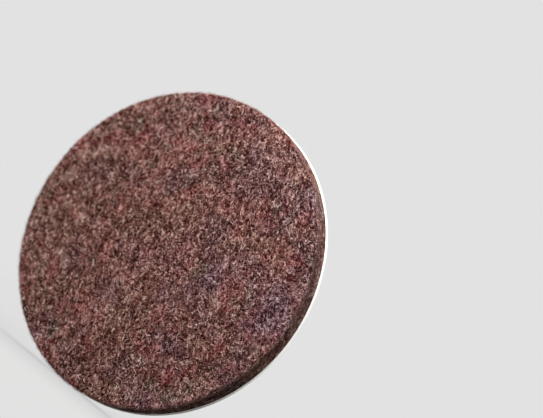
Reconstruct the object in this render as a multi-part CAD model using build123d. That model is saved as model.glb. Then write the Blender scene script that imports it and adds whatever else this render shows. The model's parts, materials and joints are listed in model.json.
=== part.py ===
"""Self-adhesive felt polishing wheel for a flat lap or backing plate.

The wheel stands on its rim. Its axis lies along Y, with the felt working face
towards -Y and the release liner towards +Y. The origin is the centre of the
wheel's bounding box, which is also a point on its axis.

From the working face to the back, the layers are the pressed wool felt, an
adhesive film, a white foam tape core, a second adhesive film and the paper
release liner. The liner is one flexible sheet. It is cut here into upright
strips, hinged to each other, so that it can curl back as it is peeled.

Units are millimetres.
"""

import os

from build123d import *

# ---- driving dimensions ----
WHEEL_DIAMETER = 100.0
FELT_THICKNESS = 6.2
ADHESIVE_THICKNESS = 0.06
TAPE_CORE_THICKNESS = 0.5
LINER_THICKNESS = 0.14

FELT_EDGE_RADIUS = 0.7      # the soft edge round the working face
LINER_OVERHANG = 0.3        # how far the liner stands out past the felt, all round

LINER_STRIPS = 10
STRIP_PITCH = 10.0          # spacing of the liner's fold lines

# ---- derived dimensions ----
WHEEL_RADIUS = WHEEL_DIAMETER / 2
LINER_RADIUS = WHEEL_RADIUS + LINER_OVERHANG
TOTAL_THICKNESS = FELT_THICKNESS + 2 * ADHESIVE_THICKNESS + TAPE_CORE_THICKNESS + LINER_THICKNESS

WORKING_FACE_Y = -TOTAL_THICKNESS / 2
FELT_BACK_Y = WORKING_FACE_Y + FELT_THICKNESS
TAPE_CORE_Y = FELT_BACK_Y + ADHESIVE_THICKNESS
LAP_ADHESIVE_Y = TAPE_CORE_Y + TAPE_CORE_THICKNESS
LINER_Y = LAP_ADHESIVE_Y + ADHESIVE_THICKNESS
BACK_FACE_Y = LINER_Y + LINER_THICKNESS

FIRST_FOLD_X = STRIP_PITCH * (LINER_STRIPS - 2) / 2


def round_layer(radius, front_y, thickness):
    """A round sheet on the wheel's axis, with its front at front_y."""
    front = Plane(origin=(0, front_y, 0), z_dir=(0, 1, 0))
    return extrude(front * Circle(radius), amount=thickness)


def felt_disc():
    """The pressed felt, with the edge of its working face rounded over."""
    disc = round_layer(WHEEL_RADIUS, WORKING_FACE_Y, FELT_THICKNESS)
    working_edge = disc.edges().sort_by(Axis.Y)[0]
    return fillet(working_edge, FELT_EDGE_RADIUS)


def felt_side_adhesive():
    """The film that bonds the tape to the felt."""
    return round_layer(WHEEL_RADIUS, FELT_BACK_Y, ADHESIVE_THICKNESS)


def foam_tape_core():
    """The white foam sheet that carries an adhesive film on each side."""
    return round_layer(WHEEL_RADIUS, TAPE_CORE_Y, TAPE_CORE_THICKNESS)


def lap_side_adhesive():
    """The film that bonds the wheel to its backing plate."""
    return round_layer(WHEEL_RADIUS, LAP_ADHESIVE_Y, ADHESIVE_THICKNESS)


def strip_limits(index):
    """The least and greatest x of a liner strip; the end strips run out to the rim."""
    greatest = FIRST_FOLD_X - (index - 1) * STRIP_PITCH
    least = greatest - STRIP_PITCH
    if index == 0:
        greatest = LINER_RADIUS
    if index == LINER_STRIPS - 1:
        least = -LINER_RADIUS
    return least, greatest


def release_liner_strip(index):
    """One upright strip of the round liner. Strip 0, at +X, is the last to come off."""
    least, greatest = strip_limits(index)
    width = greatest - least
    middle = ((least + greatest) / 2, LINER_Y + LINER_THICKNESS / 2, 0)
    slab = Pos(*middle) * Box(width, LINER_THICKNESS, 2 * LINER_RADIUS)
    return round_layer(LINER_RADIUS, LINER_Y, LINER_THICKNESS) & slab


def all_parts():
    parts = {
        "felt_disc": felt_disc(),
        "felt_side_adhesive": felt_side_adhesive(),
        "foam_tape_core": foam_tape_core(),
        "lap_side_adhesive": lap_side_adhesive(),
    }
    for index in range(LINER_STRIPS):
        parts[f"release_liner_strip_{index + 1:02d}"] = release_liner_strip(index)
    return parts


os.makedirs("parts", exist_ok=True)
for node, shape in all_parts().items():
    export_step(shape, f"parts/{node}.step")
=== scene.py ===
"""Looks for the felt polishing wheel: matted wool felt, foam tape, adhesive films and a paper liner.

Lengths are in metres. The wheel's axis is Y, its felt face looks along -Y and its liner along +Y.
"""

import json
import math

import bpy
import numpy as np
from mathutils import Matrix, Vector

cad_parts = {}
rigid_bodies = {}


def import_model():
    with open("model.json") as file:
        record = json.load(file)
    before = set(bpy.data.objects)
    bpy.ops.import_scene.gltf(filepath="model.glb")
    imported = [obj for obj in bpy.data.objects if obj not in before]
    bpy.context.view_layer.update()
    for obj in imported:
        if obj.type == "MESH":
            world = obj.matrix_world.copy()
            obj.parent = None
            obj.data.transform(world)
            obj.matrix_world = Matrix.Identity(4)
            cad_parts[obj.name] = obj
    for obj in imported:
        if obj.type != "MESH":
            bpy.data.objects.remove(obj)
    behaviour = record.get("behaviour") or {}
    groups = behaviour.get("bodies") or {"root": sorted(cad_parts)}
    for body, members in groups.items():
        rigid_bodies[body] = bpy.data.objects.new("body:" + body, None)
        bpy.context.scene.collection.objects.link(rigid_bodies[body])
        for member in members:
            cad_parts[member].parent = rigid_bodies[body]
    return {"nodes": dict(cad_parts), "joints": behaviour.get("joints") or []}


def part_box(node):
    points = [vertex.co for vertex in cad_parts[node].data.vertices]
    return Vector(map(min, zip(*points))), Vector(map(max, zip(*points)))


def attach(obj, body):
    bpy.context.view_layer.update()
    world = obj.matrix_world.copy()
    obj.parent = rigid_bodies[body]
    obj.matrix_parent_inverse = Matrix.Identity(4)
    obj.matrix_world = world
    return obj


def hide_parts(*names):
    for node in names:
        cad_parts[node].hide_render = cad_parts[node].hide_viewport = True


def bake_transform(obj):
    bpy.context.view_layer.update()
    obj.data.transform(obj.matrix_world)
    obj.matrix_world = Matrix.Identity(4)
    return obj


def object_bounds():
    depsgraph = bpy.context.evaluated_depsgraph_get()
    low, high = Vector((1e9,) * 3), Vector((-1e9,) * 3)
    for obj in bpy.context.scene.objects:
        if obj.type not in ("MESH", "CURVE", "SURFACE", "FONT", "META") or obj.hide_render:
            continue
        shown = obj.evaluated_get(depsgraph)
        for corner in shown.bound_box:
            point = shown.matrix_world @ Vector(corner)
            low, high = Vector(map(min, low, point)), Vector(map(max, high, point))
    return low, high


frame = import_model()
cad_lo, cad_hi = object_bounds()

MM = 0.001
TURN = 2 * math.pi

# ---- places, all read from the frame ----
FELT_LO, FELT_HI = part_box("felt_disc")
FELT_R = FELT_HI.z
FELT_FRONT, FELT_BACK = FELT_LO.y, FELT_HI.y
FELT_DEPTH = FELT_BACK - FELT_FRONT
STRIPS = sorted(n for n in frame["nodes"] if n.startswith("release_liner_strip_"))
LINER_FRONT, LINER_BACK = (corner.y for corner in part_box(STRIPS[0]))
LINER_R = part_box(STRIPS[0])[1].x     # the strip that stays bonded longest runs out to the rim at +X
FOLDS = [j for j in frame["joints"] if j["type"] == "hinge"]

# ---- felt ----
EDGE_ROUND = 0.5 * MM        # the soft edge round the working face
FACE_CELLS = 136             # rings of quads from the middle of the face to its edge
EDGE_ROWS = 5                # rows of quads round the soft edge
WALL_ROWS = 17               # rows of quads from the soft edge to the tape
RASTER = 0.16 * MM           # cell of the raster that tufts are laid on
RELIEF = 0.34 * MM           # from the deepest gap between tufts to the highest tuft
REST_HEIGHT = 0.72           # the raster height, of 0..1, that lies on the felt's plain surface
WALL_FLATTER = 0.35          # the share of the relief that the cut wall lacks
FACE_TUFTS = 44000
WALL_TUFTS = 7000
TUFT_STEPS = 9               # points along a tuft
LIE = math.radians(122)      # the way most tufts lie on the face
LIE_SPREAD = math.radians(38)
RIM_WOBBLE = 0.06 * MM       # roughly how far the cut edge strays from a true circle
EDGE_LIGHT = 0.10            # the compressed ring just inside the edge is a little lighter

# ---- loose wool fibres ----
FIBRE_RINGS = 4              # rings of points along a fibre
FIBRE_SIDES = 3
GROUP_FIBRES = 9200          # in each of the rose, tan and dark groups on the face
PALE_FIBRES = 420
WALL_FIBRES = 5200
RIM_FIBRES = 3600

# ---- colours of each wool from its darkest tone to its lightest, as 8-bit display colours ----
ROSE = ((44, 11, 9), (80, 38, 34), (121, 74, 70), (168, 120, 115), (234, 197, 188))
UMBER = ((36, 13, 8), (70, 39, 29), (108, 74, 61), (152, 120, 106), (226, 208, 190))
CRIMSON = ((48, 8, 9), (88, 30, 30), (130, 66, 65), (176, 110, 107), (232, 180, 172))
VIOLET = ((34, 12, 17), (68, 39, 45), (106, 76, 84), (150, 121, 129), (218, 196, 202))
OLIVE = ((30, 20, 13), (60, 49, 39), (94, 82, 70), (138, 127, 113), (214, 206, 192))
UNDYED = ((30, 17, 13), (60, 42, 37), (98, 78, 72), (148, 131, 124), (224, 214, 208))

# ---- tape and liner ----
TAPE_SEGMENTS = 512          # points round each tape layer
TAPE_KNOTS = 180             # places round a layer where its cut edge wanders in or out
TAPE_LIP = 0.05 * MM         # the most that a layer's edge is rounded
LINER_ROWS = 72              # rows of points up the liner
LINER_COLUMN = 0.8 * MM      # rough spacing of its columns
LINER_WANDER = 0.02 * MM     # how far the die-cut outline strays from a true circle
LINER_BURR = 0.05 * MM       # the scale of its small burrs
LINER_RIM_POWER = 24         # how closely the outline's burrs keep to the rim
LINER_END_SHARE = 0.97       # columns further out than this share of the radius follow the burrs in x too

# ---- camera ----
VIEW_AZIMUTH = math.radians(32.0)
VIEW_ELEVATION = math.radians(1.0)
VIEW_ROLL = math.radians(36.2)
VIEW_DISTANCE = 0.75
LENS_MM = 164.9
AIM_RIGHT = math.radians(2.463)    # the lens points to the right of the wheel's middle
AIM_DOWN = math.radians(0.889)     # and a little below it
FOCUS_X = 0.027              # the part of the face that is sharpest
F_STOP = 10.5

# ---- studio ----
SURROUND = 0.28              # brightness of the surround as the wheel sees it
BACKDROP = 0.76              # brightness of the plain surround and of the floor further out
FLOOR_TONE = 0.07            # how much of the studio light the floor near the wheel returns
FLOOR_BOUNCE = 0.13          # how much light it throws back on the wheel
FLOOR_GLOW = 0.54            # brightness that the floor near the wheel has without any light
FLOOR_FADE = (0.05, 0.30)    # the floor turns into the backdrop between these distances from the middle


# ---------------------------------------------------------------- small helpers
def srgb(r, g, b):
    """Linear colour of an 8-bit display colour."""
    def linear(v):
        v /= 255
        return v / 12.92 if v <= 0.04045 else ((v + 0.055) / 1.055) ** 2.4
    return (linear(r), linear(g), linear(b), 1.0)


def make_object(name, verts, faces, material):
    mesh = bpy.data.meshes.new(name)
    mesh.from_pydata(np.asarray(verts).tolist(), [], faces)
    mesh.validate()
    mesh.polygons.foreach_set("use_smooth", [True] * len(mesh.polygons))
    mesh.materials.append(material)
    obj = bpy.data.objects.new(name, mesh)
    bpy.context.scene.collection.objects.link(obj)
    return obj


def point_values(obj, **fields):
    """Stores one number per vertex under each name, for the material to read."""
    for name, values in fields.items():
        attribute = obj.data.attributes.new(name, "FLOAT", "POINT")
        attribute.data.foreach_set("value", np.asarray(values, np.float32))


def sample(field, u, v, wrap_u=False):
    """Bilinear reading of a raster at fractional cells u, v."""
    nu, nv = field.shape
    u = np.mod(u, nu) if wrap_u else np.clip(u, 0, nu - 1.001)
    v = np.clip(v, 0, nv - 1.001)
    iu, iv = u.astype(int), v.astype(int)
    ju = (iu + 1) % nu
    fu, fv = u - iu, v - iv
    low = field[iu, iv] * (1 - fv) + field[iu, iv + 1] * fv
    high = field[ju, iv] * (1 - fv) + field[ju, iv + 1] * fv
    return low * (1 - fu) + high * fu


# ---------------------------------------------------------------- matted tufts
def lay_tufts(rng, span_u, span_v, count, length, half_width, lie, spread, loose, wrap_u=False):
    """Lays curved, overlapping tufts of wool on a raster and keeps the top one in each cell.

    Tufts point along lie, give or take spread. A loose share of them points any way.
    Returns the height (0..1), tone (0 dark..1 light) and warmth (0 grey..1 rose) of every cell. The tone is
    each tuft's own tone, darkened toward the tuft's edges and in the bare cells between tufts as painted
    shade.
    """
    nu, nv = round(span_u / RASTER), round(span_v / RASTER)
    angle = rng.normal(lie, spread, count)
    scattered = rng.random(count) < loose
    angle[scattered] = rng.uniform(0, TURN, scattered.sum())
    curl = rng.normal(0, 0.8, count) / MM
    long = rng.uniform(*length, count)
    wide = rng.uniform(*half_width, count)
    level = rng.random(count)
    tone = np.clip(rng.normal(0.5, 0.19, count) + 0.2 * (level - 0.5), 0, 1)
    warmth = rng.beta(2.1, 1.9, count)

    along = np.linspace(-0.5, 0.5, TUFT_STEPS)
    heading = angle[:, None] + curl[:, None] * along * long[:, None]
    step = long[:, None] / (TUFT_STEPS - 1)
    u = rng.uniform(0, span_u, count)[:, None] + np.cumsum(np.cos(heading) * step, 1)
    v = rng.uniform(0, span_v, count)[:, None] + np.cumsum(np.sin(heading) * step, 1)
    taper = wide[:, None] * (1 - 0.75 * (2 * along) ** 4)

    reach = math.ceil(half_width[1] / RASTER)
    offsets = np.arange(-reach, reach + 1)
    ou, ov = (a.ravel() for a in np.meshgrid(offsets, offsets))
    cu, cv = u.ravel() / RASTER, v.ravel() / RASTER
    iu = np.round(cu)[:, None].astype(int) + ou
    iv = np.round(cv)[:, None].astype(int) + ov
    distance = np.hypot(iu - cu[:, None], iv - cv[:, None]) * RASTER
    inside = distance < taper.ravel()[:, None]
    if wrap_u:
        iu %= nu
    inside &= (iu >= 0) & (iu < nu) & (iv >= 0) & (iv < nv)
    crown = 1 - (distance / np.maximum(taper.ravel()[:, None], 1e-9)) ** 2
    owner = np.repeat(np.arange(count), TUFT_STEPS)[:, None] + np.zeros_like(iu)
    value = 0.62 * level[owner] + 0.38 * crown

    cell, value, owner, crown = (iu * nv + iv)[inside], value[inside], owner[inside], crown[inside]
    order = np.argsort(value, kind="stable")
    cell, value, owner, crown = cell[order], value[order], owner[order], crown[order]
    height = np.zeros(nu * nv)
    # bare cells between the tufts start dark: painted shade
    shade = np.full(nu * nv, 0.25)
    warm = np.full(nu * nv, 0.5)
    height[cell] = value
    # each tuft's tone is darkened toward its edges: painted shade at its sides
    shade[cell] = tone[owner] * (0.72 + 0.28 * crown)
    warm[cell] = warmth[owner]
    return height.reshape(nu, nv), shade.reshape(nu, nv), warm.reshape(nu, nv)


def felt_fields():
    """The tuft rasters of the working face and of the unrolled side wall."""
    rng = np.random.default_rng(11)
    face = lay_tufts(rng, 2 * FELT_R, 2 * FELT_R, FACE_TUFTS, length=(0.6 * MM, 1.9 * MM),
                     half_width=(0.13 * MM, 0.28 * MM), lie=LIE, spread=LIE_SPREAD, loose=0.35)
    wall = lay_tufts(rng, TURN * FELT_R, FELT_DEPTH, WALL_TUFTS, length=(0.6 * MM, 2.2 * MM),
                     half_width=(0.15 * MM, 0.32 * MM), lie=0.0, spread=math.radians(45), loose=0.4,
                     wrap_u=True)
    return face, wall


FACE_FIELD, WALL_FIELD = felt_fields()


def read_face(field, x, z):
    """A face raster at places on the working face."""
    return sample(field, (x + FELT_R) / RASTER, (z + FELT_R) / RASTER)


def read_wall(field, theta, depth):
    """A wall raster at angles round the wheel and depths behind the working face."""
    return sample(field, np.mod(theta, TURN) * FELT_R / RASTER, depth / RASTER, wrap_u=True)


def rim_wobble(theta):
    """How far the cut edge strays from a true circle."""
    return RIM_WOBBLE * (0.5 * np.sin(5 * theta + 1.1) + 0.3 * np.sin(13 * theta + 0.4)
                         + 0.25 * np.sin(41 * theta + 2.0) + 0.2 * np.sin(97 * theta))


# ---------------------------------------------------------------- felt body
def disc_points(cells, radius):
    """A square grid of (2 * cells + 1) squared points, pressed into an even disc."""
    line = np.linspace(-1, 1, 2 * cells + 1)
    a, b = (g.ravel() for g in np.meshgrid(line, line, indexing="ij"))
    wide = np.abs(a) > np.abs(b)
    r = np.where(wide, a, b)
    ratio = np.where(wide, b / np.where(a == 0, 1, a), a / np.where(b == 0, 1, b))
    quarter = math.pi / 4 * ratio
    x = r * np.where(wide, np.cos(quarter), np.sin(quarter))
    z = r * np.where(wide, np.sin(quarter), np.cos(quarter))
    return x * radius, z * radius


def grid_border(cells):
    """Indices of the grid's outer points, in order round the disc."""
    n = 2 * cells + 1
    first = [i * n for i in range(n - 1)]
    second = [(n - 1) * n + j for j in range(n - 1)]
    third = [i * n + n - 1 for i in range(n - 1, 0, -1)]
    fourth = list(range(n - 1, 0, -1))
    return first + second + third + fourth


def felt_profile():
    """Rows from the edge of the flat face round the soft edge and down the wall: radius, y, normal."""
    rows = []
    for i in range(1, EDGE_ROWS + 1):
        a = math.pi / 2 * i / EDGE_ROWS
        rows.append((FELT_R - EDGE_ROUND * (1 - math.sin(a)), FELT_FRONT + EDGE_ROUND * (1 - math.cos(a)),
                     math.sin(a), -math.cos(a)))
    for i in range(1, WALL_ROWS + 1):
        rows.append((FELT_R, FELT_FRONT + EDGE_ROUND + (FELT_DEPTH - EDGE_ROUND) * i / WALL_ROWS, 1.0, 0.0))
    return rows


def felt_body(material):
    """The felt as one closed mesh: the matted face, the soft edge, the cut wall and a flat back."""
    x, z = disc_points(FACE_CELLS, FELT_R - EDGE_ROUND)
    height, tone, warmth = (read_face(f, x, z) for f in FACE_FIELD)
    tone = tone + EDGE_LIGHT * np.exp(-((FELT_R - 1.3 * MM - np.hypot(x, z)) / (0.5 * MM)) ** 2)
    verts = [np.column_stack([x, FELT_FRONT + RELIEF * (REST_HEIGHT - height), z])]
    tones, warmths, pits, depths = [tone], [warmth], [height], [np.zeros_like(x)]

    n = 2 * FACE_CELLS + 1
    i, j = (g.ravel() for g in np.meshgrid(np.arange(n - 1), np.arange(n - 1), indexing="ij"))
    corner = i * n + j
    faces = np.column_stack([corner, corner + n, corner + n + 1, corner + 1]).tolist()

    border = grid_border(FACE_CELLS)
    theta = np.arctan2(z[border], x[border])
    ring, count = np.array(border), len(border)
    base = len(x)
    for radius, y, normal_r, normal_y in felt_profile():
        depth = y - FELT_FRONT
        on_wall = normal_r ** 2
        cx, cz = np.cos(theta), np.sin(theta)
        face_read = [read_face(f, cx * radius, cz * radius) for f in FACE_FIELD]
        wall_read = [read_wall(f, theta, np.full(count, depth)) for f in WALL_FIELD]
        height, tone, warmth = (a * (1 - on_wall) + b * on_wall for a, b in zip(face_read, wall_read))
        at_back = min(1.0, (FELT_BACK - y) / (0.5 * MM))
        push = RELIEF * (height - REST_HEIGHT) * (1 - WALL_FLATTER * on_wall) * at_back
        r = radius + normal_r * (push + rim_wobble(theta) * at_back)
        verts.append(np.column_stack([cx * r, y + normal_y * push, cz * r]))
        tones.append(tone)
        warmths.append(warmth)
        pits.append(height)
        depths.append(np.full(count, depth / FELT_DEPTH))
        new = base + np.arange(count)
        faces += np.column_stack([ring, new, np.roll(new, -1), np.roll(ring, -1)]).tolist()
        ring, base = new, base + count
    faces.append(ring[::-1].tolist())
    obj = make_object("felt_disc_body", np.concatenate(verts), faces, material)
    point_values(obj, tone=np.concatenate(tones), warmth=np.concatenate(warmths),
                 height=np.concatenate(pits), depth=np.concatenate(depths))
    return obj


# ---------------------------------------------------------------- wool fibres
def tubes(name, centre, up, radius, tone, warmth, depth, material):
    """Closed thin tubes along centre (count, rings, 3), with up as the felt's outward direction."""
    count = len(centre)
    tangent = np.gradient(centre, axis=1)
    tangent /= np.linalg.norm(tangent, axis=2, keepdims=True) + 1e-12
    side = np.cross(tangent, up)
    side /= np.linalg.norm(side, axis=2, keepdims=True) + 1e-12
    lift = np.cross(side, tangent)
    angles = TURN * np.arange(FIBRE_SIDES) / FIBRE_SIDES
    ring = (np.cos(angles)[None, None, :, None] * side[:, :, None, :]
            + np.sin(angles)[None, None, :, None] * lift[:, :, None, :])
    verts = centre[:, :, None, :] + ring * radius[:, :, None, None]
    start = np.arange(count)[:, None, None] * FIBRE_RINGS * FIBRE_SIDES
    row = np.arange(FIBRE_RINGS - 1)[None, :, None] * FIBRE_SIDES
    col = np.arange(FIBRE_SIDES)[None, None, :]
    nxt = (col + 1) % FIBRE_SIDES
    quads = np.stack([start + row + col, start + row + FIBRE_SIDES + col,
                      start + row + FIBRE_SIDES + nxt, start + row + nxt], -1)
    first = np.arange(count)[:, None] * FIBRE_RINGS * FIBRE_SIDES + np.arange(FIBRE_SIDES)
    last = (first + (FIBRE_RINGS - 1) * FIBRE_SIDES)[:, ::-1]
    faces = quads.reshape(-1, 4).tolist() + first.tolist() + last.tolist()
    obj = make_object(name, verts.reshape(-1, 3), faces, material)
    each = FIBRE_RINGS * FIBRE_SIDES
    point_values(obj, tone=np.repeat(tone, each), warmth=np.repeat(warmth, each),
                 height=np.full(count * each, 0.95), depth=np.repeat(depth, each))
    return obj


def fibre_radius(rng, count, thick):
    """The radius at each ring: thickest in the middle, and drawn in at both ends."""
    along = np.linspace(-1, 1, FIBRE_RINGS)
    return rng.uniform(*thick, count)[:, None] * (1 - 0.72 * along ** 4)[None, :]


def face_fibres(name, seed, count, thick, length, tone, warmth, lift, material):
    """Fibres that lie over the working face and dive back into it at both ends."""
    rng = np.random.default_rng(seed)
    r = (FELT_R - 0.9 * EDGE_ROUND) * np.sqrt(rng.random(count))
    a = rng.uniform(0, TURN, count)
    angle = rng.normal(LIE, LIE_SPREAD * 1.2, count)
    scattered = rng.random(count) < 0.4
    angle[scattered] = rng.uniform(0, TURN, scattered.sum())
    along = np.linspace(-0.5, 0.5, FIBRE_RINGS)[None, :]
    long = rng.uniform(*length, count)[:, None]
    curl = rng.normal(0, 0.95, count)[:, None] / MM
    kink = rng.normal(0, 0.25, (count, FIBRE_RINGS))
    heading = angle[:, None] + curl * along * long + kink
    step = long / (FIBRE_RINGS - 1)
    x = (r * np.cos(a))[:, None] + np.cumsum(np.cos(heading) * step, 1)
    z = (r * np.sin(a))[:, None] + np.cumsum(np.sin(heading) * step, 1)
    out = np.hypot(x, z)
    keep = np.minimum(1.0, (FELT_R - 0.3 * EDGE_ROUND) / out)
    x, z = x * keep, z * keep
    ground = read_face(FACE_FIELD[0], x, z)
    arch = (1 - (2 * along) ** 2) * rng.uniform(*lift, count)[:, None]
    y = FELT_FRONT + RELIEF * (REST_HEIGHT - ground) + 0.05 * MM - arch
    centre = np.stack([x, y, z], -1)
    up = np.broadcast_to(np.array([0.0, -1.0, 0.0]), centre.shape)
    return tubes(name, centre, up, fibre_radius(rng, count, thick), rng.uniform(*tone, count),
                 rng.uniform(*warmth, count), np.zeros(count), material)


def wall_fibres(name, seed, count, material):
    """Short fibres along the cut side wall, and a few that stray past the soft edge."""
    rng = np.random.default_rng(seed)
    theta = rng.uniform(0, TURN, count)
    depth = rng.uniform(0.15 * MM, FELT_DEPTH - 0.25 * MM, count)
    heading = rng.normal(0, 0.42, count) + np.where(rng.random(count) < 0.5, 0, math.pi)
    along = np.linspace(-0.5, 0.5, FIBRE_RINGS)[None, :]
    long = rng.uniform(0.9 * MM, 3.2 * MM, count)[:, None]
    bend = rng.normal(0, 0.3, count)[:, None] / MM
    direction = heading[:, None] + bend * along * long
    step = long / (FIBRE_RINGS - 1)
    t = theta[:, None] + np.cumsum(np.cos(direction) * step, 1) / FELT_R
    d = depth[:, None] + np.cumsum(np.sin(direction) * step, 1)
    d = np.clip(d, 0.1 * MM, FELT_DEPTH - 0.12 * MM)
    rounding = np.clip(EDGE_ROUND - d, 0, EDGE_ROUND)
    inset = EDGE_ROUND - np.sqrt(np.maximum(EDGE_ROUND ** 2 - rounding ** 2, 0))
    ground = RELIEF * (read_wall(WALL_FIELD[0], t, d) - REST_HEIGHT) * (1 - WALL_FLATTER)
    arch = (1 - (2 * along) ** 2) * rng.uniform(0.02 * MM, 0.16 * MM, count)[:, None]
    r = FELT_R - inset + ground + rim_wobble(t) - 0.07 * MM + arch
    centre = np.stack([r * np.cos(t), FELT_FRONT + d, r * np.sin(t)], -1)
    up = np.stack([np.cos(t), np.zeros_like(t), np.sin(t)], -1)
    return tubes(name, centre, up, fibre_radius(rng, count, (0.03 * MM, 0.07 * MM)),
                 rng.uniform(0.25, 0.85, count), rng.uniform(0.1, 0.9, count), depth / FELT_DEPTH, material)


def rim_fuzz(name, seed, count, material):
    """Fine loose fibres that stand off the edge of the felt."""
    rng = np.random.default_rng(seed)
    theta = rng.uniform(0, TURN, count)
    depth = np.abs(rng.normal(0.2 * MM, 0.9 * MM, count)).clip(0, FELT_DEPTH - 0.3 * MM)
    along = np.linspace(0, 1, FIBRE_RINGS)[None, :]
    long = rng.uniform(0.6 * MM, 2.2 * MM, count)[:, None]
    sideways = rng.normal(0, 0.9, count)[:, None] * long * along
    stand = rng.uniform(0.12 * MM, 0.75 * MM, count)[:, None]
    r = FELT_R - 0.25 * MM + stand * np.sin(along * 2.2)
    t = theta[:, None] + sideways / FELT_R
    y = FELT_FRONT + depth[:, None] + rng.normal(0, 0.25, count)[:, None] * long * along
    y = np.clip(y, FELT_FRONT - 0.3 * MM, FELT_BACK - 0.15 * MM)
    centre = np.stack([r * np.cos(t), y, r * np.sin(t)], -1)
    up = np.broadcast_to(np.array([0.0, -1.0, 0.0]), centre.shape)
    return tubes(name, centre, up, fibre_radius(rng, count, (0.018 * MM, 0.04 * MM)),
                 rng.uniform(0.35, 0.9, count), rng.uniform(0.3, 0.9, count), depth / FELT_DEPTH, material)


# ---------------------------------------------------------------- materials
class Nodes:
    """A short way to write a node tree."""

    def __init__(self, name):
        self.material = bpy.data.materials.new(name)
        self.material.use_nodes = True
        self.tree = self.material.node_tree
        self.tree.nodes.clear()

    def add(self, kind, inputs=(), **settings):
        node = self.tree.nodes.new(kind)
        for key, value in settings.items():
            setattr(node, key, value)
        for key, value in dict(inputs).items():
            if isinstance(value, bpy.types.NodeSocket):
                self.tree.links.new(value, node.inputs[key])
            else:
                node.inputs[key].default_value = value
        return node

    def noise(self, scale, detail=3.0, roughness=0.55, size=(1, 1, 1), turn=(0, 0, 0)):
        """Noise whose grains are size times longer along the axes, after those are turned."""
        place = self.add("ShaderNodeTexCoord")
        mapping = self.add("ShaderNodeMapping", {"Vector": place.outputs["Object"], "Scale": size,
                                                 "Rotation": turn}, vector_type="TEXTURE")
        node = self.add("ShaderNodeTexNoise", {"Vector": mapping.outputs[0], "Scale": scale,
                                               "Detail": detail, "Roughness": roughness})
        return node.outputs["Fac"]

    def across(self, low, high):
        """A value that grows from low at the wheel's -X rim to high at its +X rim."""
        place = self.add("ShaderNodeTexCoord")
        x = self.add("ShaderNodeSeparateXYZ", {0: place.outputs["Object"]}).outputs["X"]
        return self.remap(x, -FELT_R, FELT_R, low, high)

    def math(self, operation, a, b=0.0, clamp=False):
        return self.add("ShaderNodeMath", {0: a, 1: b}, operation=operation, use_clamp=clamp).outputs[0]

    def total(self, first, *others):
        """The sum of all values, kept within 0..1."""
        for value in others[:-1]:
            first = self.math("ADD", first, value)
        return self.math("ADD", first, others[-1], clamp=True)

    def remap(self, value, start, end, low, high):
        node = self.add("ShaderNodeMapRange", {"Value": value, "From Min": start, "From Max": end,
                                               "To Min": low, "To Max": high})
        return node.outputs["Result"]

    def spread(self, value, low, high):
        """Maps a noise's usual 0.25..0.75 to low..high."""
        return self.remap(value, 0.25, 0.75, low, high)

    def swing(self, value, amount):
        """Maps a noise's usual range to amount either way."""
        return self.spread(value, -amount, amount)

    def tones(self, level, colours):
        """Evenly spaced colours, from the darkest at level 0 to the lightest at level 1."""
        last = len(colours) - 1
        return self.ramp(level, [(k / last, srgb(*colour)) for k, colour in enumerate(colours)])

    def ramp(self, value, stops):
        node = self.add("ShaderNodeValToRGB", {"Fac": value})
        elements = node.color_ramp.elements
        while len(elements) < len(stops):
            elements.new(0.5)
        for element, (position, colour) in zip(elements, stops):
            element.position = position
            element.color = colour
        return node.outputs["Color"]

    def mix(self, factor, a, b, blend_type="MIX"):
        node = self.add("ShaderNodeMix", data_type="RGBA", blend_type=blend_type)
        for socket, value in ((node.inputs[0], factor), (node.inputs[6], a), (node.inputs[7], b)):
            if isinstance(value, bpy.types.NodeSocket):
                self.tree.links.new(value, socket)
            else:
                socket.default_value = value
        return node.outputs[2]

    def attribute(self, name):
        return self.add("ShaderNodeAttribute", attribute_name=name).outputs["Fac"]

    def bump(self, height, distance):
        node = self.add("ShaderNodeBump", {"Height": height, "Distance": distance, "Strength": 1.0})
        return node.outputs[0]

    def finish(self, **inputs):
        shader = self.add("ShaderNodeBsdfPrincipled", {k.replace("_", " "): v for k, v in inputs.items()})
        self.add("ShaderNodeOutputMaterial", {"Surface": shader.outputs[0]})
        return self.material


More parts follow.
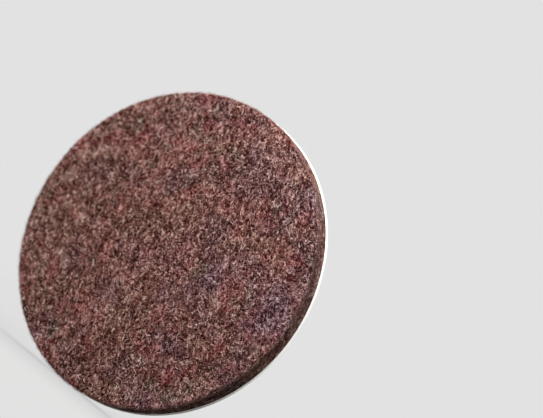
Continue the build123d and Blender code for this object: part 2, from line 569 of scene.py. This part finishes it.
def felt_material():
    """Heathered wool: the tone of each tuft, finer grain in it, patches of dye, painted shade low between
    the tufts and a cut side wall with painted shade.
    """
    n = Nodes("felt_wool")
    tone, warmth = n.attribute("tone"), n.attribute("warmth")
    height, depth = n.attribute("height"), n.attribute("depth")

    # light and dark, from the finest grain to the broadest patches
    lie = (0, math.pi / 2 - LIE, 0)
    grain = n.swing(n.noise(2900, 2.0), 0.28)
    fine_grain = n.swing(n.noise(4000, 1.0), 0.36)
    hairs = n.swing(n.noise(900, 3.0, size=(0.4, 1, 1.7), turn=lie), 0.14)
    streaks = n.swing(n.noise(380, 2.0, size=(0.45, 1, 1.6), turn=lie), 0.15)
    lumps = n.swing(n.noise(240, 2.0), 0.09)
    patches = n.swing(n.noise(60, 2.0), 0.06)
    specks = n.remap(n.noise(1900, 1.0), 0.62, 0.78, 0.0, 0.6)
    # painted shade: the lower a cell lies between the tufts, the darker its colour
    painted_gap_shade = n.math("MULTIPLY", n.math("SUBTRACT", height, 0.74), 0.55)

    # how far each dye reaches; the violet one grows across the wheel
    dye = n.math("ADD", n.spread(n.noise(75, 3.0), -0.50, 0.84), n.across(-0.46, 0.36), clamp=True)
    moss = n.math("MULTIPLY", n.spread(n.noise(98, 3.0, 0.6), -2.2, 1.3), 0.65, clamp=True)
    flush = n.math("MULTIPLY", n.spread(n.noise(110, 3.0, 0.6), -1.15, 1.3), 0.8, clamp=True)
    own_warmth = n.math("MULTIPLY", warmth, 0.4)
    warm = n.math("ADD", own_warmth, n.spread(n.noise(45, 2.0), -0.10, 0.85), clamp=True)

    shade = n.math("MULTIPLY", n.math("ADD", dye, moss), -0.08)
    level = n.total(tone, grain, fine_grain, hairs, streaks, lumps, patches, specks, painted_gap_shade, shade)
    colour = n.mix(warm, n.tones(level, UMBER), n.tones(level, ROSE))
    colour = n.mix(dye, colour, n.tones(level, VIOLET))
    colour = n.mix(flush, colour, n.tones(level, CRIMSON))
    colour = n.mix(moss, colour, n.tones(level, OLIVE))

    # the side wall is a cut through the felt and less dyed; down the wall its colour is darkened as painted
    # shade, it turns lighter again next to the tape, and the thin dark line where the wall meets the tape
    # is a painted shadow
    colour = n.mix(n.remap(depth, 0.03, 0.14, 0.0, 0.36), colour, n.tones(level, UNDYED))
    wall_painted_shade = n.ramp(depth, [(0.0, srgb(255, 255, 255)), (0.07, srgb(214, 204, 200)),
                               (0.15, srgb(160, 150, 146)), (0.60, srgb(172, 164, 156)),
                               (0.82, srgb(214, 212, 206)), (0.96, srgb(206, 204, 198)),
                               (1.0, srgb(104, 96, 90))])
    colour = n.mix(1.0, colour, wall_painted_shade, "MULTIPLY")

    fine = n.bump(n.noise(3400, 3.0, 0.6), 0.00012)
    return n.finish(Base_Color=colour, Roughness=0.95, Normal=fine, Sheen_Weight=0.05,
                    Sheen_Roughness=0.6, Sheen_Tint=srgb(214, 150, 138), Specular_IOR_Level=0.06)


def paper_material():
    """Smooth coated release paper with faint mottling."""
    n = Nodes("release_paper")
    mottle = n.spread(n.noise(160, 4.0), 0.0, 1.0)
    colour = n.mix(mottle, srgb(236, 236, 233), srgb(242, 242, 240))
    fibres = n.noise(1800, 4.0, size=(1, 1, 4))
    gloss = n.spread(n.noise(300, 2.0), 0.34, 0.48)
    return n.finish(Base_Color=colour, Roughness=gloss, Normal=n.bump(fibres, 0.00003),
                    Specular_IOR_Level=0.5, Coat_Weight=0.12, Coat_Roughness=0.25)


def foam_material():
    """White closed-cell foam, seen only at the wheel's edge."""
    n = Nodes("tape_foam")
    cells = n.add("ShaderNodeTexVoronoi", {"Scale": 9000.0}).outputs["Distance"]
    soil = n.spread(n.noise(700, 3.0), 0.0, 0.6)
    colour = n.mix(soil, srgb(248, 247, 243), srgb(224, 218, 208))
    return n.finish(Base_Color=colour, Roughness=0.7, Normal=n.bump(cells, 0.00004),
                    Subsurface_Weight=0.15, Subsurface_Radius=(0.0006, 0.0006, 0.0005))


def adhesive_material():
    """Tacky translucent film with an orange-peel surface."""
    n = Nodes("adhesive_film")
    streaks = n.spread(n.noise(220, 3.0, size=(1, 1, 3)), 0.0, 1.0)
    colour = n.mix(streaks, srgb(231, 228, 217), srgb(237, 235, 226))
    peel = n.noise(900, 2.0)
    gloss = n.spread(n.noise(400, 2.0), 0.12, 0.3)
    return n.finish(Base_Color=colour, Roughness=gloss, Normal=n.bump(peel, 0.00005),
                    Coat_Weight=0.4, Coat_Roughness=0.12, Subsurface_Weight=0.1,
                    Subsurface_Radius=(0.0005, 0.0005, 0.0004))


# ---------------------------------------------------------------- tape layers
def layer_disc(name, node, material, rings, shrink, ripple, seed):
    """A round sheet of the tape, with rounded, slightly uneven cut edges."""
    lo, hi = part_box(node)
    rng = np.random.default_rng(seed)
    theta = TURN * np.arange(TAPE_SEGMENTS) / TAPE_SEGMENTS
    knots = np.append(rng.normal(0, 1, TAPE_KNOTS), 0)
    wander = np.interp(theta, np.linspace(0, TURN, TAPE_KNOTS + 1), knots)
    outer = hi.z - shrink + ripple * wander
    thick = hi.y - lo.y
    lip = min(0.25 * thick, TAPE_LIP)
    scales = np.linspace(0.15, 1, rings)
    verts, faces = [], []

    def row(scale, inset, y):
        r = (outer - inset) * scale
        verts.append(np.column_stack([r * np.cos(theta), np.full(TAPE_SEGMENTS, y), r * np.sin(theta)]))

    for scale in scales:
        row(scale, lip, lo.y)
    row(1, 0.0, lo.y + lip)
    row(1, 0.0, hi.y - lip)
    for scale in scales[::-1]:
        row(scale, lip, hi.y)
    for k in range(len(verts) - 1):
        a = k * TAPE_SEGMENTS + np.arange(TAPE_SEGMENTS)
        b = a + TAPE_SEGMENTS
        faces += np.column_stack([a, b, np.roll(b, -1), np.roll(a, -1)]).tolist()
    first = np.arange(TAPE_SEGMENTS)
    last = first + (len(verts) - 1) * TAPE_SEGMENTS
    faces += [first.tolist(), last[::-1].tolist()]
    obj = make_object(name, np.concatenate(verts), faces, material)
    obj.data.set_sharp_from_angle(angle=math.radians(40))
    return obj


# ---------------------------------------------------------------- release liner
def liner_radius(theta):
    """The liner's die-cut edge, with slight wander and a few burrs."""
    wander = np.sin(7 * theta) + 0.6 * np.sin(23 * theta + 1)
    burrs = 4 * np.maximum(0, np.sin(61 * theta + 0.7) - 0.82)
    return LINER_R + LINER_WANDER * wander + LINER_BURR * burrs


def liner_columns(start, end):
    """x of the columns of a piece, closer together near the rim."""
    a = math.acos(min(1, max(-1, -start / LINER_R)))
    b = math.acos(min(1, max(-1, -end / LINER_R)))
    least = math.radians(0.5)
    a, b = max(a, least), min(b, math.pi - least)
    count = max(8, round((b - a) * LINER_R / LINER_COLUMN))
    return -LINER_R * np.cos(np.linspace(a, b, count + 1))


def liner_piece(name, start, end, material):
    """The part of the paper sheet between two upright lines, as a closed thin solid."""
    xs = liner_columns(start, end)
    rows = LINER_ROWS
    share = np.linspace(-1, 1, rows)
    reach = np.sqrt(np.maximum(LINER_R ** 2 - xs ** 2, 0))
    z = reach[:, None] * share[None, :]
    x = np.broadcast_to(xs[:, None], z.shape)
    out = np.hypot(x, z)
    edge = (out / LINER_R) ** LINER_RIM_POWER
    scale = 1 + edge * (liner_radius(np.arctan2(z, x)) / LINER_R - 1)
    on_rim = (np.abs(share) == 1)[None, :] | (np.abs(x) > LINER_R * LINER_END_SHARE)
    x = np.where(on_rim, x * scale, x)
    z = z * scale
    nx = len(xs)
    front = np.stack([x, np.full_like(x, LINER_FRONT), z], -1).reshape(-1, 3)
    back = np.stack([x, np.full_like(x, LINER_BACK), z], -1).reshape(-1, 3)
    i, j = (g.ravel() for g in np.meshgrid(np.arange(nx - 1), np.arange(rows - 1), indexing="ij"))
    a = i * rows + j
    near = np.column_stack([a, a + rows, a + rows + 1, a + 1])
    far = near[:, ::-1] + nx * rows
    loop = ([k * rows for k in range(nx - 1)] + [(nx - 1) * rows + k for k in range(rows - 1)]
            + [k * rows + rows - 1 for k in range(nx - 1, 0, -1)] + list(range(rows - 1, 0, -1)))
    loop = np.array(loop)
    wall = np.column_stack([loop, loop + nx * rows, np.roll(loop, -1) + nx * rows, np.roll(loop, -1)])
    obj = make_object(name, np.concatenate([front, back]),
                      near.tolist() + far.tolist() + wall.tolist(), material)
    obj.data.set_sharp_from_angle(angle=math.radians(50))
    return obj


def build_liner(material):
    """One sheet in pieces that meet half way between folds, one piece across each fold.

    The folds run from +X, where the sheet stays bonded, to -X, where the peel starts.
    """
    fold_x = [j["pos_m"][0] for j in FOLDS]
    bodies = [FOLDS[0]["parent"]] + [j["child"] for j in FOLDS]
    half = (fold_x[0] - fold_x[1]) / 2
    bonded = liner_piece("release_liner_bonded", fold_x[0], LINER_R, material)
    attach(bonded, bodies[0])
    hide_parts(STRIPS[0])
    for i, x in enumerate(fold_x):
        first, last = i == 0, i == len(fold_x) - 1
        near = x if first else x + half
        far = -LINER_R if last else x - half
        piece = liner_piece(f"release_liner_bend_{i + 1:02d}", far, near, material)
        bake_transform(piece)
        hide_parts(STRIPS[i + 1])


# ---------------------------------------------------------------- build
def build_wheel():
    """Every visible piece; the felt, the tape layers and the bonded part of the liner each on the body that
    it moves with.
    """
    wool, paper = felt_material(), paper_material()
    body = felt_body(wool)
    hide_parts("felt_disc")
    felt = [
        body,
        face_fibres("felt_fibres_rose", 21, GROUP_FIBRES, thick=(0.03 * MM, 0.07 * MM),
                    length=(0.5 * MM, 1.6 * MM), tone=(0.4, 0.8), warmth=(0.5, 1.0),
                    lift=(0.02 * MM, 0.2 * MM), material=wool),
        face_fibres("felt_fibres_tan", 22, GROUP_FIBRES, thick=(0.028 * MM, 0.065 * MM),
                    length=(0.5 * MM, 1.5 * MM), tone=(0.45, 0.9), warmth=(0.1, 0.7),
                    lift=(0.02 * MM, 0.2 * MM), material=wool),
        face_fibres("felt_fibres_dark", 23, GROUP_FIBRES, thick=(0.04 * MM, 0.09 * MM),
                    length=(0.5 * MM, 1.5 * MM), tone=(0.1, 0.4), warmth=(0.3, 0.9),
                    lift=(0.02 * MM, 0.14 * MM), material=wool),
        face_fibres("felt_fibres_cream", 26, PALE_FIBRES, thick=(0.06 * MM, 0.11 * MM),
                    length=(0.7 * MM, 2.4 * MM), tone=(1.2, 1.6), warmth=(0.0, 0.4),
                    lift=(0.08 * MM, 0.28 * MM), material=wool),
        wall_fibres("felt_fibres_wall", 24, WALL_FIBRES, wool),
        rim_fuzz("felt_fibres_rim", 25, RIM_FIBRES, wool),
    ]
    adhesive = adhesive_material()
    layers = [
        (layer_disc("tape_felt_side_film", "felt_side_adhesive", adhesive, rings=4,
                    shrink=0.04 * MM, ripple=0.01 * MM, seed=31), "felt_side_adhesive", "adhesive"),
        (layer_disc("tape_foam_core", "foam_tape_core", foam_material(), rings=4,
                    shrink=0.03 * MM, ripple=0.012 * MM, seed=32), "foam_tape_core", "tape_foam"),
        (layer_disc("tape_lap_side_film", "lap_side_adhesive", adhesive, rings=12,
                    shrink=0.05 * MM, ripple=0.01 * MM, seed=33), "lap_side_adhesive", "adhesive"),
    ]
    for piece, node, slot in layers:
        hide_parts(node)
    for piece in felt + [layer[0] for layer in layers]:
        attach(piece, "wheel")
    build_liner(paper)


# ---------------------------------------------------------------- studio
def camera_ray_mix(tree, seen, hidden, output_kind):
    """What the camera sees straight on, and what every other ray finds."""
    path = tree.nodes.new("ShaderNodeLightPath")
    mix = tree.nodes.new("ShaderNodeMixShader")
    output = tree.nodes.new(output_kind)
    tree.links.new(path.outputs["Is Camera Ray"], mix.inputs[0])
    tree.links.new(hidden.outputs[0], mix.inputs[1])
    tree.links.new(seen.outputs[0], mix.inputs[2])
    tree.links.new(mix.outputs[0], output.inputs["Surface"])


def plain_surround():
    """A plain pale grey backdrop, which lights the wheel more dimly than it looks."""
    world = bpy.data.worlds.new("studio")
    bpy.context.scene.world = world
    world.use_nodes = True
    tree = world.node_tree
    tree.nodes.clear()
    seen = tree.nodes.new("ShaderNodeBackground")
    seen.inputs["Color"].default_value = (1, 1, 1, 1)
    seen.inputs["Strength"].default_value = BACKDROP
    hidden = tree.nodes.new("ShaderNodeBackground")
    hidden.inputs["Color"].default_value = (1.0, 0.985, 0.96, 1)
    hidden.inputs["Strength"].default_value = SURROUND
    camera_ray_mix(tree, seen, hidden, "ShaderNodeOutputWorld")


def pale_floor():
    """A pale floor that shows the wheel's soft shadow and fades into the plain surround further out."""
    size = 6.0
    z = cad_lo.z - 0.2 * MM
    corners = [(-size, -size, z), (size, -size, z), (size, size, z), (-size, size, z)]
    mesh = bpy.data.meshes.new("studio_floor")
    mesh.from_pydata(corners, [], [(0, 1, 2, 3)])
    floor = bpy.data.objects.new("studio_floor", mesh)
    bpy.context.scene.collection.objects.link(floor)
    n = Nodes("pale_floor")
    place = n.add("ShaderNodeTexCoord")
    reach = n.add("ShaderNodeVectorMath", {0: place.outputs["Object"]}, operation="LENGTH")
    fade = n.remap(reach.outputs["Value"], *FLOOR_FADE, 0.0, 1.0)
    lit = n.add("ShaderNodeBsdfDiffuse", {"Color": (FLOOR_TONE, FLOOR_TONE, FLOOR_TONE, 1)})
    glow = n.add("ShaderNodeEmission", {"Strength": FLOOR_GLOW})
    near = n.add("ShaderNodeAddShader", {0: lit.outputs[0], 1: glow.outputs[0]})
    far = n.add("ShaderNodeEmission", {"Strength": BACKDROP})
    seen = n.add("ShaderNodeMixShader", {0: fade, 1: near.outputs[0], 2: far.outputs[0]})
    hidden = n.add("ShaderNodeBsdfDiffuse", {"Color": (FLOOR_BOUNCE, FLOOR_BOUNCE, FLOOR_BOUNCE, 1)})
    camera_ray_mix(n.tree, seen, hidden, "ShaderNodeOutputMaterial")
    mesh.materials.append(n.material)


def area_light(name, place, size, watts, colour):
    """A round softbox that looks at the wheel's middle."""
    data = bpy.data.lights.new(name, "AREA")
    data.shape = "DISK"
    data.size = size
    data.energy = watts
    data.color = colour
    light = bpy.data.objects.new(name, data)
    light.location = place
    light.rotation_mode = "QUATERNION"
    light.rotation_quaternion = (-Vector(place)).to_track_quat("-Z", "Y")
    bpy.context.scene.collection.objects.link(light)


def lights():
    area_light("key_softbox", (0.15, -0.18, 0.30), size=0.24, watts=2.1, colour=(1.0, 0.985, 0.965))
    area_light("top_softbox", (-0.06, 0.05, 0.46), size=0.25, watts=5.5, colour=(1.0, 0.99, 0.98))
    area_light("fill_front", (-0.50, -0.75, 0.20), size=0.7, watts=0.5, colour=(1.0, 0.97, 0.95))
    area_light("fill_back", (-0.35, 0.85, 0.30), size=0.7, watts=2.2, colour=(1.0, 0.99, 0.98))


def camera():
    """A long lens, rolled so that the wheel seems to lean, with the wheel at the left of the frame."""
    data = bpy.data.cameras.new("camera")
    cam = bpy.data.objects.new("camera", data)
    bpy.context.scene.collection.objects.link(cam)
    bpy.context.scene.camera = cam
    away = Vector((math.sin(VIEW_AZIMUTH) * math.cos(VIEW_ELEVATION),
                   -math.cos(VIEW_AZIMUTH) * math.cos(VIEW_ELEVATION), math.sin(VIEW_ELEVATION)))
    face_centre = Vector((0, FELT_FRONT, 0))
    data.sensor_width = 36.0
    data.lens = LENS_MM
    level = (-away).to_track_quat("-Z", "Y").to_matrix()
    rolled = level @ Matrix.Rotation(VIEW_ROLL, 3, "Z")
    aimed = rolled @ Matrix.Rotation(-AIM_RIGHT, 3, "Y") @ Matrix.Rotation(AIM_DOWN, 3, "X")
    cam.location = face_centre + away * VIEW_DISTANCE
    cam.rotation_mode = "QUATERNION"
    cam.rotation_quaternion = aimed.to_quaternion()
    data.clip_start, data.clip_end = 0.01, 50.0
    focus = bpy.data.objects.new("focus_point", None)
    focus.location = (FOCUS_X, FELT_FRONT, 0)
    bpy.context.scene.collection.objects.link(focus)
    data.dof.use_dof = True
    data.dof.focus_object = focus
    data.dof.aperture_fstop = F_STOP


build_wheel()
plain_surround()
pale_floor()
lights()
camera()
bpy.context.scene.view_settings.view_transform = "Standard"
